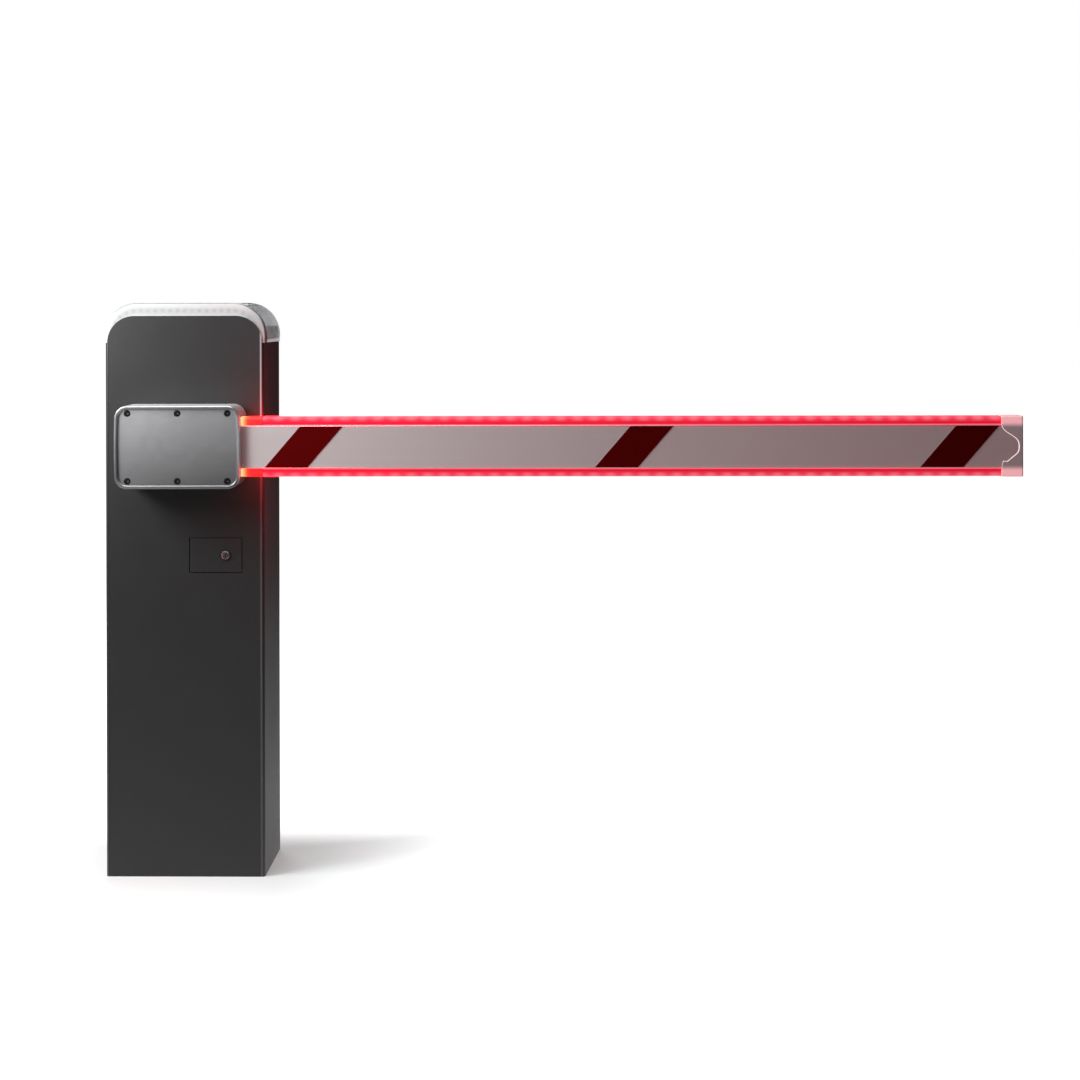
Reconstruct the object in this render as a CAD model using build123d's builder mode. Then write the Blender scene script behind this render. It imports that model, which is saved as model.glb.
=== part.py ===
"""Parking barrier with a lit crown and a lit boom.

The origin is the centre of the cabinet's base on the ground. +Z is up, the
cabinet's front faces -Y and the lowered boom points along +X. Millimetres.
"""

import os

from build123d import *

# Cabinet
cabinet_width = 320.0
cabinet_depth = 210.0
housing_height = 1073.0
sheet = 2.0
corner_bend = 6.0
panel_seam = 0.6
flange_width = 14.0
front_panel_rise = 54.5
front_panel_head_inset = 3.8
front_panel_radius = 54.0

# Screws that hold the rear panel on the side panels' flanges
rear_screw_rows = 4
rear_screw_margin = 60.0
rear_screw_hole_radius = 2.75
rear_screw_thread_radius = 2.1

# Base plate, bolted to the foundation
base_thickness = 8.0
base_corner = 7.0
anchor_spacing_x = 240.0
anchor_spacing_y = 130.0
anchor_slot_width = 14.0
anchor_slot_length = 30.0
cable_opening_width = 150.0
cable_opening_depth = 76.0
cable_opening_radius = 12.0

# Crown on top of the cabinet
crown_overhang = 1.6
crown_height = 80.5
crown_radius = 65.0
crown_wall = 3.0
crown_rear_radius = 5.0
crown_lip_height = 6.0
crown_groove_height = 1.8
crown_groove_depth = 1.0
lens_thickness = 6.0
lens_edge = 1.2
lens_skirt = 22.0
led_board_thickness = 1.6
led_board_inset = 8.0
led_board_band = 14.0
led_board_rise = 12.0
carrier_wall = 3.0
carrier_rear_gap = 8.0
carrier_foot_height = 2.0
tray_drop = 10.0
tray_upstand_height = 42.0
tray_upstand_clearance = 4.0
tray_upstand_inset = 4.0

# Drive shaft and its bearing
pivot_height = 869.0
shaft_radius = 17.5
shaft_collar_radius = 25.0
shaft_clearance = 0.05
shaft_collar_gap = 1.0
shaft_end_gap = 2.0
bearing_flange_radius = 55.0
bearing_flange_thickness = 8.0
bearing_hub_radius = 32.0
bearing_hub_length = 30.0
bearing_spigot_radius = 29.8
bearing_hole_gap = 0.2
retainer_radius = 23.0
retainer_thickness = 5.0
retainer_gap = 0.5

# Release opening in the front panel, its door, well and lock
release_x = 62.2
release_z = 646.2
release_width = 107.0
release_height = 71.0
release_gap = 1.2
well_depth = 60.0
well_flange = 8.0
hinge_inset = 4.5
hinge_pin_radius = 1.25
hinge_pin_gap = 0.15
hinge_clearance = 0.05
knuckle_radius = 3.0
knuckle_length = 16.0
door_edge_radius = 1.9
lock_x = 81.6
lock_seal_radius = 12.4
lock_seal_thickness = 0.6
lock_flange_radius = 10.4
lock_flange_height = 1.6
lock_barrel_radius = 9.0
lock_barrel_length = 18.0
lock_clearance = 0.05
lock_dish_depth = 1.0
lock_dish_radius = 8.2
core_radius = 6.0
core_tail_radius = 8.0
core_tail_length = 1.5
keyway_width = 1.4
keyway_height = 7.5
keyway_depth = 5.0
socket_radius = 12.0
socket_length = 13.0
socket_hex_radius = 5.8
socket_hex_depth = 10.0

# Arm bracket: a die-cast shell and its cover
bracket_gap = 7.0
bracket_centre_x = 2.0
bracket_width = 250.0
bracket_height = 164.0
bracket_bow = 2.0
bracket_radius = 25.0
shell_wall = 5.0
shell_back = 6.0
shell_rear_fillet = 4.0
hub_radius = 34.0
rib_thickness = 4.0
screw_spacing_x = 98.8
screw_spacing_z = 133.6
boss_radius = 7.5
boss_bore_radius = 3.2
cover_thickness = 12.0
rim_width = 7.6
rim_height = 4.5
rim_outer_fillet = 3.2
rim_inner_fillet = 3.2
screw_hole_radius = 4.2
screw_sink_radius = 6.8
screw_sink_depth = 4.5

# Boom
boom_depth = 46.0
boom_face_height = 84.4
boom_wall = 1.8
boom_web = 1.5
boom_corner = 2.0
boom_cap_band = 8.0
boom_standoff = 32.0
boom_inner_end = -100.0
boom_outer_end = 1655.0
boom_play = 0.3
slot_neck_width = 12.0
slot_neck_depth = 2.0
slot_width = 18.0
slot_depth = 4.0
slot_clearance = 0.3
screw_port_radius = 2.1

# Light strips along the boom
strip_depth = 40.0
strip_height = 16.7
strip_radius = 7.0
lead_start = 90.0
lead_end = 167.7
strip_seam = 0.4

# End cap of the boom
cap_overlap = 35.0
cap_end_wall = 6.5
cap_height = 118.8
cap_proud = 1.0
cap_corner = 3.0
cap_edge = 1.5
cap_fit = 0.1
cap_tongue = 33.0
cap_lead_in = 1.6
cap_lead_in_depth = 0.7
cap_screw_hole_radius = 2.2
cap_screw_sink_radius = 4.4
cap_screw_sink_depth = 2.6

# Reflectors
first_reflector = 172.5
middle_reflector = 822.8
last_reflector_distance = 195.0
reflector_width = 85.5
reflector_slant = 70.0
reflector_thickness = 0.4
reflector_margin = 1.6

# Places that follow from the sizes above
half_width = cabinet_width / 2
front = cabinet_depth / 2
panel_edge = half_width - corner_bend - panel_seam
rear_screw_x = panel_edge - flange_width / 2
rear_screw_pitch = (housing_height - 2 * rear_screw_margin) / (rear_screw_rows - 1)
inner_half_width = half_width - sheet
inner_half_depth = front - 2 * sheet
upstand_half_width = inner_half_width - tray_upstand_inset
front_panel_top = housing_height + front_panel_rise
tray_height = housing_height - tray_drop
tray_upstand_top = tray_height + tray_upstand_height
crown_half_width = half_width + crown_overhang
crown_rear = front + crown_overhang
crown_top = housing_height + crown_height
led_board_bottom = housing_height + led_board_rise
lens_back = front - sheet - lens_thickness
skirt_back = lens_back - lens_skirt
board_back = lens_back - led_board_thickness
bracket_rear = front + bracket_gap
boom_back = front + boom_standoff
boom_front = boom_back + boom_depth
bracket_front = boom_front + cover_thickness
boom_middle = boom_back + boom_depth / 2
half_face = boom_face_height / 2
strip_top = half_face + strip_height
screw_port_y = (boom_depth / 2 + slot_width / 2) / 2
screw_port_pitch_z = boom_face_height - boom_cap_band
cap_start = boom_outer_end - cap_overlap
cap_end = boom_outer_end + cap_end_wall
reflector_starts = (
    first_reflector, middle_reflector, boom_outer_end - last_reflector_distance
)
door_width = release_width - 2 * release_gap
door_height = release_height - 2 * release_gap
hinge_x = release_x - door_width / 2 + hinge_inset
hinge_y = sheet + hinge_pin_radius + hinge_pin_gap - front
lock_seat = front + lock_seal_thickness
lock_front = lock_seat + lock_flange_height


def facing(distance, x=0.0, z=0.0):
    """Upright plane through (x, -distance, z) whose normal points to the front."""
    return Plane(origin=(x, -distance, z), x_dir=(1, 0, 0), z_dir=(0, -1, 0))


def across_boom(x):
    """Plane across the boom at x: local x runs to the back, local y up."""
    return Plane(
        origin=(x, -boom_middle, pivot_height), x_dir=(0, 1, 0), z_dir=(1, 0, 0)
    )


def arch(plane, inset, bottom):
    """The crown's arched outline, moved in by inset, from the height bottom up."""
    width = 2 * (crown_half_width - inset)
    height = crown_top - inset - housing_height
    with BuildSketch(plane) as outline:
        with Locations((0, housing_height)):
            Rectangle(width, height, align=(Align.CENTER, Align.MIN))
        fillet(outline.vertices().group_by(Axis.Y)[-1], crown_radius - inset)
        with Locations((0, bottom)):
            Rectangle(width, height, align=(Align.CENTER, Align.MIN), mode=Mode.INTERSECT)
    return outline.sketch


def crown_groove():
    """Plan of the groove round the crown's sides and back, above its lip."""
    with BuildSketch(Plane.XY.offset(housing_height + crown_lip_height)) as ring:
        Rectangle(2 * crown_half_width + sheet, 2 * crown_rear + sheet)
        Rectangle(
            2 * (crown_half_width - crown_groove_depth),
            2 * (crown_rear - crown_groove_depth),
            mode=Mode.SUBTRACT,
        )
    return ring.sketch


def bracket_outline(distance, inset):
    """The bracket's outline with bowed ends and rounded corners, moved in by inset."""
    x = bracket_width / 2 - bracket_bow - inset
    z = bracket_height / 2 - inset
    with BuildSketch(facing(distance, bracket_centre_x, pivot_height)) as outline:
        with BuildLine():
            Line((-x, z), (x, z))
            ThreePointArc((x, z), (x + bracket_bow, 0), (x, -z))
            Line((x, -z), (-x, -z))
            ThreePointArc((-x, -z), (-x - bracket_bow, 0), (-x, z))
        make_face()
        fillet(outline.vertices(), bracket_radius - inset)
    return outline.sketch


os.makedirs("parts", exist_ok=True)

# Steel plate that takes the anchor bolts
with BuildPart() as base_plate:
    with BuildSketch() as base_outline:
        Rectangle(2 * inner_half_width, 2 * inner_half_depth)
        fillet(base_outline.vertices(), base_corner)
        with GridLocations(anchor_spacing_x, anchor_spacing_y, 2, 2):
            SlotOverall(anchor_slot_length, anchor_slot_width, mode=Mode.SUBTRACT)
        RectangleRounded(
            cable_opening_width, cable_opening_depth, cable_opening_radius, mode=Mode.SUBTRACT
        )
    extrude(amount=base_thickness)

# Side panel: bent round both corners, with a stepped flange behind each face
with BuildPart() as side_panel_right:
    with BuildSketch() as side_section:
        RectangleRounded(cabinet_width, cabinet_depth, corner_bend)
        RectangleRounded(
            cabinet_width - 2 * sheet,
            cabinet_depth - 2 * sheet,
            corner_bend - sheet,
            mode=Mode.SUBTRACT,
        )
        Rectangle(cabinet_width - 2 * corner_bend, 2 * cabinet_depth, mode=Mode.SUBTRACT)
        flange_x = half_width - corner_bend - (flange_width - sheet) / 2
        with GridLocations(0, 2 * front - 3 * sheet, 1, 2):
            with Locations((flange_x, 0)):
                Rectangle(flange_width + sheet, sheet)
        with Locations((half_width, 0)):
            Rectangle(cabinet_width, 2 * cabinet_depth, mode=Mode.INTERSECT)
    extrude(amount=housing_height)
    with BuildSketch(facing(sheet - front)):
        with Locations((rear_screw_x, housing_height / 2)):
            with GridLocations(0, rear_screw_pitch, 1, rear_screw_rows):
                Circle(rear_screw_thread_radius)
    extrude(amount=sheet, mode=Mode.SUBTRACT)

with BuildPart() as side_panel_left:
    mirror(side_panel_right.part, about=Plane.YZ)

# Front panel: its rounded top stands in front of the crown
with BuildPart() as front_panel:
    with BuildSketch(facing(front - sheet)) as front_outline:
        Rectangle(2 * panel_edge, housing_height, align=(Align.CENTER, Align.MIN))
        with Locations((0, housing_height)):
            Rectangle(
                cabinet_width - 2 * front_panel_head_inset,
                front_panel_rise,
                align=(Align.CENTER, Align.MIN),
            )
        fillet(front_outline.vertices().group_by(Axis.Y)[-1], front_panel_radius)
        with Locations((0, pivot_height)):
            Circle(bearing_spigot_radius + bearing_hole_gap, mode=Mode.SUBTRACT)
        with Locations((release_x, release_z)):
            Rectangle(release_width, release_height, mode=Mode.SUBTRACT)
    extrude(amount=sheet)

# Plain access panel at the back, with holes for its screws
with BuildPart() as rear_door:
    with BuildSketch(facing(-front)):
        Rectangle(2 * panel_edge, housing_height, align=(Align.CENTER, Align.MIN))
        with Locations((0, housing_height / 2)):
            with GridLocations(2 * rear_screw_x, rear_screw_pitch, 2, rear_screw_rows):
                Circle(rear_screw_hole_radius, mode=Mode.SUBTRACT)
    extrude(amount=sheet)

# Tray that closes the housing and carries the crown's light
with BuildPart() as top_tray:
    with BuildSketch(Plane.XY.offset(tray_height)) as tray_floor:
        Rectangle(2 * inner_half_width, 2 * inner_half_depth)
        fillet(tray_floor.vertices(), base_corner)
    extrude(amount=sheet)
    with BuildSketch(Plane.XY.offset(tray_height)):
        with GridLocations(2 * upstand_half_width - sheet, 0, 2, 1):
            Rectangle(sheet, 2 * (lens_back - tray_upstand_clearance))
        with Locations((0, inner_half_depth - sheet / 2)):
            Rectangle(2 * upstand_half_width, sheet)
    extrude(amount=tray_upstand_top - tray_height)

# Clear hood over the top, closed at the back, with a groove above its lip
with BuildPart() as crown_hood:
    extrude(arch(facing(skirt_back), 0, housing_height), amount=-(skirt_back + crown_rear))
    fillet(
        crown_hood.faces().sort_by(Axis.Y)[-1].edges().filter_by_position(
            Axis.Z, housing_height + 1, crown_top
        ),
        crown_rear_radius,
    )
    extrude(
        arch(facing(skirt_back), crown_wall, housing_height),
        amount=-(skirt_back + crown_rear - crown_wall),
        mode=Mode.SUBTRACT,
    )
    extrude(crown_groove(), amount=crown_groove_height, mode=Mode.SUBTRACT)

# Frosted front of the crown, behind the front panel's rounded top: a plate with a skirt
with BuildPart() as crown_lens:
    extrude(
        arch(facing(front - sheet), 0, housing_height), amount=-(lens_thickness + lens_skirt)
    )
    fillet(
        crown_lens.faces().sort_by(Axis.Y)[0].edges().filter_by_position(
            Axis.Z, housing_height + 1, crown_top
        ),
        lens_edge,
    )
    extrude(
        arch(facing(lens_back), crown_wall, housing_height), amount=-lens_skirt, mode=Mode.SUBTRACT
    )
    extrude(crown_groove(), amount=crown_groove_height, mode=Mode.SUBTRACT)

# Light board behind the lens
with BuildPart() as crown_led_board:
    extrude(
        arch(facing(lens_back), led_board_inset, led_board_bottom), amount=-led_board_thickness
    )
    extrude(
        arch(facing(lens_back), led_board_inset + led_board_band, led_board_bottom),
        amount=-led_board_thickness,
        mode=Mode.SUBTRACT,
    )

# Arched carrier that holds the board, on feet on the tray's upstands
with BuildPart() as crown_light_carrier:
    carrier_length = board_back + front - carrier_rear_gap
    extrude(
        arch(facing(board_back), led_board_inset, tray_upstand_top), amount=-carrier_length
    )
    extrude(
        arch(facing(board_back), led_board_inset + carrier_wall, tray_upstand_top),
        amount=-carrier_length,
        mode=Mode.SUBTRACT,
    )
    with BuildSketch(facing(board_back)):
        foot_outer = upstand_half_width
        foot_inner = crown_half_width - led_board_inset - carrier_wall
        with Locations((0, tray_upstand_top + carrier_foot_height / 2)):
            with GridLocations(foot_outer + foot_inner, 0, 2, 1):
                Rectangle(foot_outer - foot_inner, carrier_foot_height)
    extrude(amount=-carrier_length)

# Bearing bolted behind the front panel, with a spigot that fills its hole
with BuildPart() as shaft_bearing:
    with BuildSketch(facing(front)):
        with Locations((0, pivot_height)):
            Circle(bearing_spigot_radius)
    extrude(amount=-sheet)
    with BuildSketch(facing(front - sheet)):
        with Locations((0, pivot_height)):
            Circle(bearing_flange_radius)
    extrude(amount=-bearing_flange_thickness)
    with BuildSketch(facing(front - sheet - bearing_flange_thickness)):
        with Locations((0, pivot_height)):
            Circle(bearing_hub_radius)
    extrude(amount=-bearing_hub_length)
    with BuildSketch(facing(front)):
        with Locations((0, pivot_height)):
            Circle(shaft_radius + shaft_clearance)
    extrude(
        amount=-(sheet + bearing_flange_thickness + bearing_hub_length), mode=Mode.SUBTRACT
    )

# Open box behind the release door
with BuildPart() as release_well:
    with BuildSketch(facing(front - sheet)):
        with Locations((release_x, release_z)):
            Rectangle(release_width + 2 * sheet, release_height + 2 * sheet)
    extrude(amount=-well_depth)
    with BuildSketch(facing(front - sheet)):
        with Locations((release_x, release_z)):
            Rectangle(
                release_width + 2 * (sheet + well_flange),
                release_height + 2 * (sheet + well_flange),
            )
    extrude(amount=-sheet)
    with BuildSketch(facing(front - sheet)):
        with Locations((release_x, release_z)):
            Rectangle(release_width, release_height)
    extrude(amount=-(well_depth - sheet), mode=Mode.SUBTRACT)
    with BuildSketch(Plane.XY.offset(release_z - release_height / 2 - sheet)):
        with Locations((hinge_x, hinge_y)):
            Circle(hinge_pin_radius + hinge_clearance)
    extrude(amount=release_height + 2 * sheet, mode=Mode.SUBTRACT)

# Socket for the release key, on the well's back wall
with BuildPart() as release_socket:
    with BuildSketch(facing(front - well_depth)):
        with Locations((release_x, release_z)):
            Circle(socket_radius)
    extrude(amount=socket_length)
    socket_face = release_socket.faces().sort_by(Axis.Y)[0]
    chamfer(socket_face.edges(), sheet / 2)
    with BuildSketch(facing(front - well_depth + socket_length)):
        with Locations((release_x, release_z)):
            RegularPolygon(socket_hex_radius, 6)
    extrude(amount=-socket_hex_depth, mode=Mode.SUBTRACT)

# Pin that the release door turns on
with BuildPart() as release_hinge_pin:
    with BuildSketch(Plane.XY.offset(release_z - release_height / 2 - sheet)):
        with Locations((hinge_x, hinge_y)):
            Circle(hinge_pin_radius)
    extrude(amount=release_height + 2 * sheet)

# Flush release door with two knuckles behind its left edge
with BuildPart() as release_door:
    with BuildSketch(facing(front - sheet)):
        with Locations((release_x, release_z)):
            Rectangle(door_width, door_height)
    extrude(amount=sheet)
    door_left_edges = release_door.edges().filter_by(Axis.Z).group_by(Axis.X)[0]
    fillet(door_left_edges.sort_by(Axis.Y)[0], door_edge_radius)
    knuckle_bottoms = (
        release_z - door_height / 2,
        release_z + door_height / 2 - knuckle_length,
    )
    for bottom in knuckle_bottoms:
        with BuildSketch(Plane.XY.offset(bottom)):
            with Locations((hinge_x, hinge_y)):
                Circle(knuckle_radius)
        extrude(amount=knuckle_length)
        with BuildSketch(Plane.XY.offset(bottom)):
            with Locations((hinge_x, hinge_y)):
                Circle(hinge_pin_radius + hinge_clearance)
        extrude(amount=knuckle_length, mode=Mode.SUBTRACT)
    with BuildSketch(facing(front)):
        with Locations((lock_x, release_z)):
            Circle(lock_barrel_radius + lock_clearance)
    extrude(amount=-sheet, mode=Mode.SUBTRACT)

# Rubber seal between the door and the lock's flange
with BuildPart() as lock_seal:
    with BuildSketch(facing(front)):
        with Locations((lock_x, release_z)):
            Circle(lock_seal_radius)
            Circle(lock_barrel_radius + lock_clearance, mode=Mode.SUBTRACT)
    extrude(amount=lock_seal_thickness)

# Lock housing with a dished front
with BuildPart() as lock_bezel:
    with BuildSketch(facing(lock_seat)):
        with Locations((lock_x, release_z)):
            Circle(lock_flange_radius)
    extrude(amount=lock_flange_height)
    lock_front_face = lock_bezel.faces().sort_by(Axis.Y)[0]
    chamfer(lock_front_face.edges(), lock_flange_height / 2)
    with BuildSketch(facing(lock_seat)):
        with Locations((lock_x, release_z)):
            Circle(lock_barrel_radius)
    extrude(amount=-(lock_barrel_length + lock_seal_thickness))
    with BuildSketch(facing(lock_front)):
        with Locations((lock_x, release_z)):
            Circle(lock_dish_radius)
    extrude(amount=-lock_dish_depth, taper=30, mode=Mode.SUBTRACT)
    with BuildSketch(facing(lock_front)):
        with Locations((lock_x, release_z)):
            Circle(core_radius + lock_clearance)
    extrude(amount=-(lock_front - front + lock_barrel_length), mode=Mode.SUBTRACT)

# Turning core of the lock, with its keyway and its tail behind the barrel
with BuildPart() as lock_core:
    core_front = lock_front - lock_dish_depth
    core_back = front - lock_barrel_length - lock_clearance
    with BuildSketch(facing(core_front)):
        with Locations((lock_x, release_z)):
            Circle(core_radius)
    extrude(amount=-(core_front - core_back))
    with BuildSketch(facing(core_back)):
        with Locations((lock_x, release_z)):
            Circle(core_tail_radius)
    extrude(amount=-core_tail_length)
    with BuildSketch(facing(core_front)):
        with Locations((lock_x, release_z)):
            Rectangle(keyway_width, keyway_height)
    extrude(amount=-keyway_depth, mode=Mode.SUBTRACT)

# Shaft through the bearing: collar outside, retaining disc inside
with BuildPart() as drive_shaft:
    bearing_back = front - sheet - bearing_flange_thickness - bearing_hub_length
    shaft_back = bearing_back - retainer_gap - retainer_thickness
    with BuildSketch(facing(shaft_back)):
        with Locations((0, pivot_height)):
            Circle(retainer_radius)
    extrude(amount=retainer_thickness)
    with BuildSketch(facing(shaft_back)):
        with Locations((0, pivot_height)):
            Circle(shaft_radius)
    extrude(amount=boom_back - shaft_end_gap - shaft_back)
    with BuildSketch(facing(front + shaft_collar_gap)):
        with Locations((0, pivot_height)):
            Circle(shaft_collar_radius)
    extrude(amount=bracket_gap - shaft_collar_gap)

# Cast shell of the arm bracket: hub, ribs that hold the boom, screw bosses
with BuildPart() as bracket_shell:
    extrude(bracket_outline(bracket_rear, 0), amount=boom_front - bracket_rear)
    shell_back_face = bracket_shell.faces().sort_by(Axis.Y)[-1]
    fillet(shell_back_face.edges(), shell_rear_fillet)
    extrude(
        bracket_outline(bracket_rear + shell_back, shell_wall),
        amount=boom_front - bracket_rear - shell_back,
        mode=Mode.SUBTRACT,
    )
    with BuildSketch(facing(bracket_rear + shell_back)):
        with Locations((0, pivot_height)):
            Circle(hub_radius)
    extrude(amount=boom_standoff - bracket_gap - shell_back - boom_play)
    rib_length = bracket_width - 2 * bracket_bow - shell_wall
    rib_offset = strip_top + boom_play + rib_thickness / 2
    with BuildSketch(facing(bracket_rear + shell_back)):
        with Locations((bracket_centre_x, pivot_height)):
            with GridLocations(0, 2 * rib_offset, 1, 2):
                Rectangle(rib_length, rib_thickness)
    extrude(amount=boom_front - bracket_rear - shell_back)
    with BuildSketch(facing(bracket_rear + shell_back)):
        with Locations((bracket_centre_x, pivot_height)):
            with GridLocations(screw_spacing_x, screw_spacing_z, 3, 2):
                Circle(boss_radius)
            Rectangle(
                bracket_width - 2 * bracket_bow,
                2 * (strip_top + boom_play),
                mode=Mode.SUBTRACT,
            )
    extrude(amount=boom_front - bracket_rear - shell_back)
    with BuildSketch(facing(bracket_rear + shell_back)):
        with Locations((bracket_centre_x, pivot_height)):
            with GridLocations(screw_spacing_x, screw_spacing_z, 3, 2):
                Circle(boss_bore_radius)
    extrude(amount=boom_front - bracket_rear - shell_back, mode=Mode.SUBTRACT)
    with BuildSketch(facing(boom_back - boom_play)):
        with Locations((bracket_centre_x + bracket_width / 2, pivot_height)):
            Rectangle(2 * (shell_wall + 2 * bracket_bow), 2 * (strip_top + boom_play))
    extrude(amount=boom_depth + boom_play, mode=Mode.SUBTRACT)
    with BuildSketch(facing(bracket_rear)):
        with Locations((0, pivot_height)):
            Circle(shaft_radius + shaft_clearance)
    extrude(amount=boom_standoff, mode=Mode.SUBTRACT)

# Cover of the arm bracket: rounded rim, plain field, six sunk screw holes
with BuildPart() as bracket_cover:
    extrude(bracket_outline(boom_front, 0), amount=cover_thickness)
    extrude(
        bracket_outline(bracket_front - rim_height, rim_width),
        amount=rim_height,
        mode=Mode.SUBTRACT,
    )
    rim_crest = bracket_cover.faces().sort_by(Axis.Y)[0]
    fillet(rim_crest.outer_wire().edges(), rim_outer_fillet)
    rim_crest = bracket_cover.faces().sort_by(Axis.Y)[0]
    fillet(rim_crest.inner_wires()[0].edges(), rim_inner_fillet)
    with BuildSketch(facing(boom_front)):
        with Locations((bracket_centre_x, pivot_height)):
            with GridLocations(screw_spacing_x, screw_spacing_z, 3, 2):
                Circle(screw_hole_radius)
    extrude(amount=cover_thickness, mode=Mode.SUBTRACT)
    with BuildSketch(facing(bracket_front - rim_height)):
        with Locations((bracket_centre_x, pivot_height)):
            with GridLocations(screw_spacing_x, screw_spacing_z, 3, 2):
                Circle(screw_sink_radius)
    extrude(amount=-screw_sink_depth, mode=Mode.SUBTRACT)

# Aluminium boom: two webs, a T-slot top and bottom, four screw ports
with BuildPart() as boom_profile:
    with BuildSketch(across_boom(boom_inner_end)) as boom_section:
        RectangleRounded(boom_depth, boom_face_height, boom_corner)
        cell_zone = boom_face_height - 2 * boom_cap_band
        cell_height = (cell_zone - 2 * boom_web) / 3
        with GridLocations(0, cell_height + boom_web, 1, 3):
            RectangleRounded(
                boom_depth - 2 * boom_wall, cell_height, boom_wall / 2, mode=Mode.SUBTRACT
            )
        for side in (-1, 1):
            with Locations((0, side * (half_face - slot_neck_depth / 2))):
                Rectangle(slot_neck_width, slot_neck_depth, mode=Mode.SUBTRACT)
            with Locations((0, side * (half_face - slot_neck_depth - slot_depth / 2))):
                Rectangle(slot_width, slot_depth, mode=Mode.SUBTRACT)
        with GridLocations(2 * screw_port_y, screw_port_pitch_z, 2, 2):
            Circle(screw_port_radius, mode=Mode.SUBTRACT)
    extrude(amount=boom_outer_end - boom_inner_end)


def light_section(x, side):
    """Section of a light strip on the boom's top (side 1) or bottom (side -1)."""
    with BuildSketch(across_boom(x)) as section:
        with Locations((0, side * (half_face + strip_height / 2))):
            Rectangle(strip_depth, strip_height)
        outer = section.vertices().group_by(Axis.Y)[-1 if side > 0 else 0]
        fillet(outer, strip_radius)
        with Locations((0, side * (half_face - slot_neck_depth / 2))):
            Rectangle(slot_neck_width - 2 * slot_clearance, slot_neck_depth)
        foot_height = slot_depth - 2 * slot_clearance
        with Locations((0, side * (half_face - slot_neck_depth - slot_depth / 2))):
            Rectangle(slot_width - 2 * slot_clearance, foot_height)
        with Locations((0, side * (half_face - slot_neck_depth))):
            Rectangle(slot_neck_width - 2 * slot_clearance, 2 * slot_clearance)
    return section.sketch


# Light strips, each with a short feed length where it leaves the bracket
with BuildPart() as led_strip_top:
    extrude(light_section(lead_end, 1), amount=cap_start - strip_seam - lead_end)

with BuildPart() as led_strip_bottom:
    extrude(light_section(lead_end, -1), amount=cap_start - strip_seam - lead_end)

with BuildPart() as led_lead_top:
    extrude(light_section(lead_start, 1), amount=lead_end - strip_seam - lead_start)

with BuildPart() as led_lead_bottom:
    extrude(light_section(lead_start, -1), amount=lead_end - strip_seam - lead_start)


def tongue(distance, spread):
    """The tongue that is cut out of the end cap's cheeks, made wider by spread."""
    reach = cap_tongue + spread
    half = half_face + spread
    with BuildSketch(facing(distance, cap_start, pivot_height)) as outline:
        with BuildLine():
            Spline(
                (0, half),
                (0.23 * reach, 0.69 * half),
                (0.6 * reach, 0.5 * half),
                (0.94 * reach, 0.24 * half),
                (reach, 0),
                (0.94 * reach, -0.24 * half),
                (0.6 * reach, -0.5 * half),
                (0.23 * reach, -0.69 * half),
                (0, -half),
                tangents=((0.1, -1), (-0.1, -1)),
            )
            Line((0, -half), (0, half))
        make_face()
    return outline.sketch


# End cap: its cheeks are cut to a rounded tongue that shows the boom's face
with BuildPart() as boom_end_cap:
    cap_length = cap_end - cap_start
    with BuildSketch(across_boom(cap_start)):
        RectangleRounded(boom_depth + 2 * cap_proud, cap_height, cap_corner)
    extrude(amount=cap_length)
    fillet(boom_end_cap.faces().sort_by(Axis.X)[-1].edges(), cap_edge)
    with BuildSketch(across_boom(cap_start)):
        Rectangle(boom_depth + 2 * cap_fit, boom_face_height + 2 * cap_fit)
    extrude(amount=boom_outer_end + cap_fit - cap_start, mode=Mode.SUBTRACT)
    cheek_front = boom_front + cap_proud
    cheek_back = boom_back - cap_proud
    extrude(tongue(cheek_front, 0), amount=-(cheek_front - cheek_back), mode=Mode.SUBTRACT)
    for outside, inside in (
        (cheek_front, cheek_front - cap_lead_in_depth),
        (cheek_back, cheek_back + cap_lead_in_depth),
    ):
        loft([tongue(outside, cap_lead_in), tongue(inside, 0)], mode=Mode.SUBTRACT)
    with BuildSketch(across_boom(boom_outer_end)):
        with GridLocations(2 * screw_port_y, screw_port_pitch_z, 2, 2):
            Circle(cap_screw_hole_radius)
    extrude(amount=cap_end_wall, mode=Mode.SUBTRACT)
    with BuildSketch(across_boom(cap_end)):
        with GridLocations(2 * screw_port_y, screw_port_pitch_z, 2, 2):
            Circle(cap_screw_sink_radius)
    extrude(amount=-cap_screw_sink_depth, mode=Mode.SUBTRACT)


def reflector(start, distance):
    """Slanted reflective sheet on the boom, its outer face at y = -distance."""
    height = boom_face_height - 2 * reflector_margin
    with BuildPart() as sticker:
        with BuildSketch(facing(distance, start, pivot_height - height / 2)):
            with BuildLine():
                Polyline(
                    (0, 0),
                    (reflector_width, 0),
                    (reflector_width + reflector_slant, height),
                    (reflector_slant, height),
                    close=True,
                )
            make_face()
        extrude(amount=-reflector_thickness)
    return sticker.part


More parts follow.
